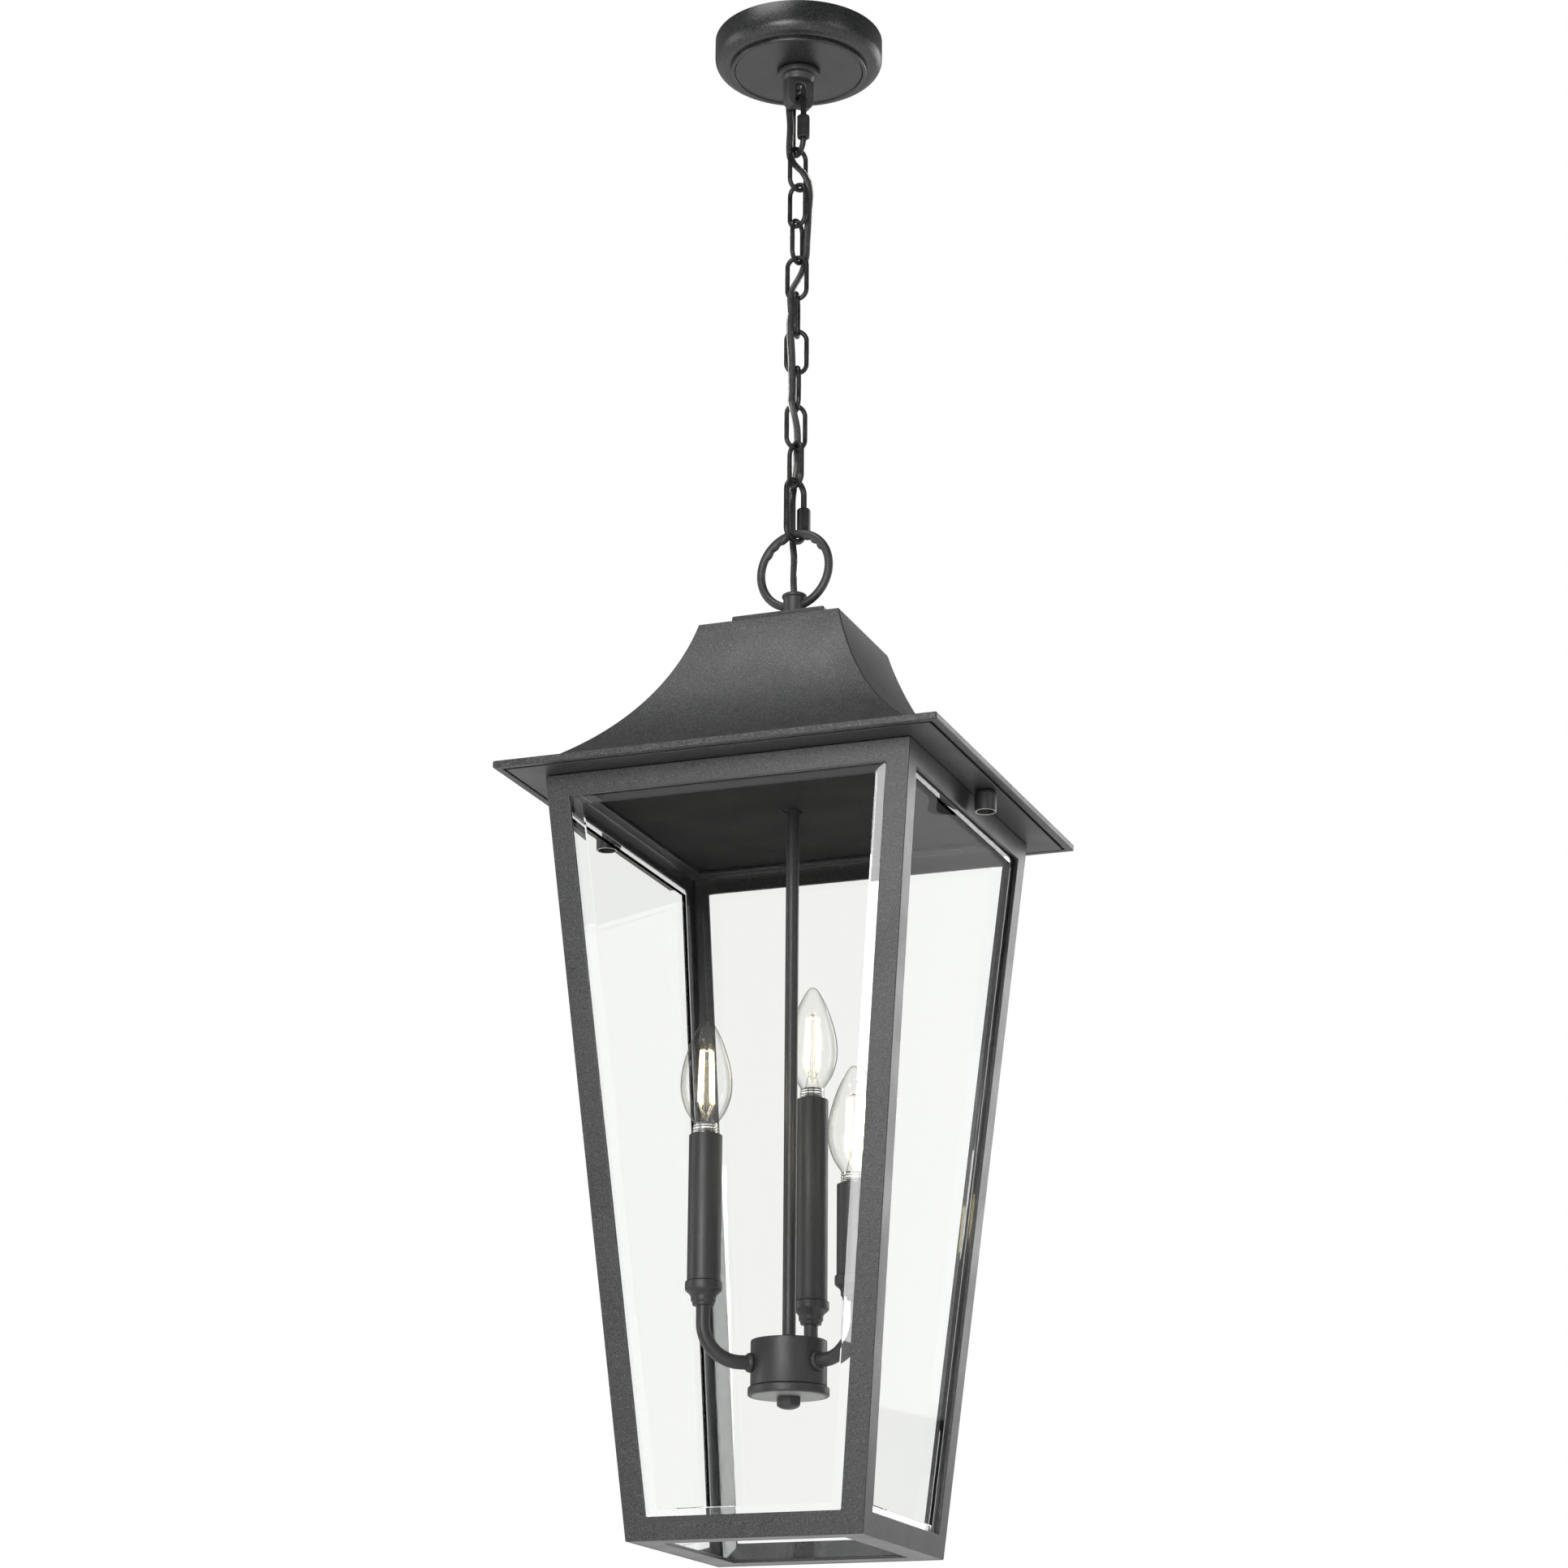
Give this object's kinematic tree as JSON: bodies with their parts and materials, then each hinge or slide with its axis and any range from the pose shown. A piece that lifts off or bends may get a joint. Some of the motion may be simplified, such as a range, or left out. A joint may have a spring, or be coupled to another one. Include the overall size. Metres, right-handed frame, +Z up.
{
  "type": "hanging lantern",
  "caption": "tapered square hanging lantern with clear glass sides, a flared coved roof and a candle-style lamp cluster, hung by a link chain from a round ceiling canopy",
  "frame": {"origin": "centre of the ceiling plane that the canopy's rim rests against, on the axis of the chain", "axes": "+Z up, -Y towards the front pane, +X right; every face of the roof and cage is square to X and Y"},
  "size_m": [0.3138, 0.3138, 1.1056],
  "materials": {
    "black_powder_coat": "fine textured satin black powder coat",
    "black_chain": "semi-gloss black plating with worn bright edges",
    "zinc_steel": "plain zinc plated steel",
    "black_cord": "satin black flat cord with a bare ground wire beside it",
    "pane_glass": "clear glass with a bevelled border",
    "bulb_glass": "clear bulb glass with glowing filaments",
    "ceramic": "off-white lampholder"
  },
  "bodies": {
    "canopy": {"canopy_shell": "black_powder_coat", "mounting_crossbar": "zinc_steel", "threaded_nipple": "zinc_steel", "nipple_locknut": "zinc_steel", "collar_ring": "black_powder_coat", "collar_loop": "black_powder_coat", "lamp_cord": "black_cord"},
    "top_quick_link": {"top_quick_link": "black_chain"},
    "top_link_sleeve": {"top_link_sleeve": "black_chain"},
    "chain_link_1": {"chain_link_1": "black_chain"},
    "chain_link_2": {"chain_link_2": "black_chain"},
    "chain_link_3": {"chain_link_3": "black_chain"},
    "chain_link_4": {"chain_link_4": "black_chain"},
    "chain_link_5": {"chain_link_5": "black_chain"},
    "chain_link_6": {"chain_link_6": "black_chain"},
    "chain_link_7": {"chain_link_7": "black_chain"},
    "chain_link_8": {"chain_link_8": "black_chain"},
    "chain_link_9": {"chain_link_9": "black_chain"},
    "bottom_quick_link": {"bottom_quick_link": "black_chain"},
    "bottom_link_sleeve": {"bottom_link_sleeve": "black_chain"},
    "lantern": {"hanging_ring": "black_powder_coat", "roof_cap_plate": "black_powder_coat", "roof_shell": "black_powder_coat", "soffit_panel": "black_powder_coat", "thumb_nut_left": "black_powder_coat", "thumb_nut_right": "black_powder_coat", "top_frame": "black_powder_coat", "bottom_frame": "black_powder_coat", "corner_post_front_left": "black_powder_coat", "corner_post_front_right": "black_powder_coat", "corner_post_back_right": "black_powder_coat", "corner_post_back_left": "black_powder_coat", "glass_front": "pane_glass", "glass_right": "pane_glass", "glass_back": "pane_glass", "glass_left": "pane_glass", "stem_tube": "black_powder_coat", "stem_locknut": "zinc_steel", "hub_body": "black_powder_coat", "hub_cover": "black_powder_coat", "hub_finial": "black_powder_coat", "arm_1": "black_powder_coat", "candle_cup_1": "black_powder_coat", "candle_sleeve_1": "black_powder_coat", "lampholder_1": "ceramic", "bulb_1": "bulb_glass", "arm_2": "black_powder_coat", "candle_cup_2": "black_powder_coat", "candle_sleeve_2": "black_powder_coat", "lampholder_2": "ceramic", "bulb_2": "bulb_glass", "arm_3": "black_powder_coat", "candle_cup_3": "black_powder_coat", "candle_sleeve_3": "black_powder_coat", "lampholder_3": "ceramic", "bulb_3": "bulb_glass"}
  },
  "joints": [
    {"name": "top_quick_link_swing", "type": "hinge", "parent": "canopy", "child": "top_quick_link", "pos_m": [0, 0, -0.0525], "axis": [0.6947, 0.7193, 0], "range_deg": [-25, 25], "deforming": ["lamp_cord"]},
    {"name": "top_sleeve_slide", "type": "slide", "parent": "top_quick_link", "child": "top_link_sleeve", "axis": [0, 0, 1], "range_m": [0, 0.006]},
    {"name": "chain_link_1_swing", "type": "hinge", "parent": "top_quick_link", "child": "chain_link_1", "pos_m": [0, 0, -0.09305], "axis": [-0.8572, 0.515, 0], "range_deg": [-25, 25], "deforming": ["lamp_cord"]},
    {"name": "chain_link_2_swing", "type": "hinge", "parent": "chain_link_1", "child": "chain_link_2", "pos_m": [0, 0, -0.1219], "axis": [0.342, 0.9397, 0], "range_deg": [-25, 25], "deforming": ["lamp_cord"]},
    {"name": "chain_link_3_swing", "type": "hinge", "parent": "chain_link_2", "child": "chain_link_3", "pos_m": [0, 0, -0.1512], "axis": [0.9877, -0.1564, 0], "range_deg": [-25, 25], "deforming": ["lamp_cord"]},
    {"name": "chain_link_4_swing", "type": "hinge", "parent": "chain_link_3", "child": "chain_link_4", "pos_m": [0, 0, -0.1805], "axis": [0.0349, -0.9994, 0], "range_deg": [-25, 25], "deforming": ["lamp_cord"]},
    {"name": "chain_link_5_swing", "type": "hinge", "parent": "chain_link_4", "child": "chain_link_5", "pos_m": [0, 0, -0.2098], "axis": [-0.9744, -0.225, 0], "range_deg": [-25, 25], "deforming": ["lamp_cord"]},
    {"name": "chain_link_6_swing", "type": "hinge", "parent": "chain_link_5", "child": "chain_link_6", "pos_m": [0, 0, -0.2391], "axis": [-0.4067, 0.9135, 0], "range_deg": [-25, 25], "deforming": ["lamp_cord"]},
    {"name": "chain_link_7_swing", "type": "hinge", "parent": "chain_link_6", "child": "chain_link_7", "pos_m": [0, 0, -0.2684], "axis": [0.8192, 0.5736, 0], "range_deg": [-25, 25], "deforming": ["lamp_cord"]},
    {"name": "chain_link_8_swing", "type": "hinge", "parent": "chain_link_7", "child": "chain_link_8", "pos_m": [0, 0, -0.2977], "axis": [0.7193, -0.6947, 0], "range_deg": [-25, 25], "deforming": ["lamp_cord"]},
    {"name": "chain_link_9_swing", "type": "hinge", "parent": "chain_link_8", "child": "chain_link_9", "pos_m": [0, 0, -0.327], "axis": [-0.5446, -0.8387, 0], "range_deg": [-25, 25], "deforming": ["lamp_cord"]},
    {"name": "bottom_quick_link_swing", "type": "hinge", "parent": "chain_link_9", "child": "bottom_quick_link", "pos_m": [0, 0, -0.3563], "axis": [-0.9272, 0.3746, 0], "range_deg": [-25, 25], "deforming": ["lamp_cord"]},
    {"name": "bottom_sleeve_slide", "type": "slide", "parent": "bottom_quick_link", "child": "bottom_link_sleeve", "axis": [0, 0, 1], "range_m": [0, 0.006]},
    {"name": "lantern_swing", "type": "hinge", "parent": "bottom_quick_link", "child": "lantern", "pos_m": [0, 0, -0.39865], "axis": [0.1564, 0.9877, 0], "range_deg": [-25, 25], "deforming": ["lamp_cord"]}
  ]
}
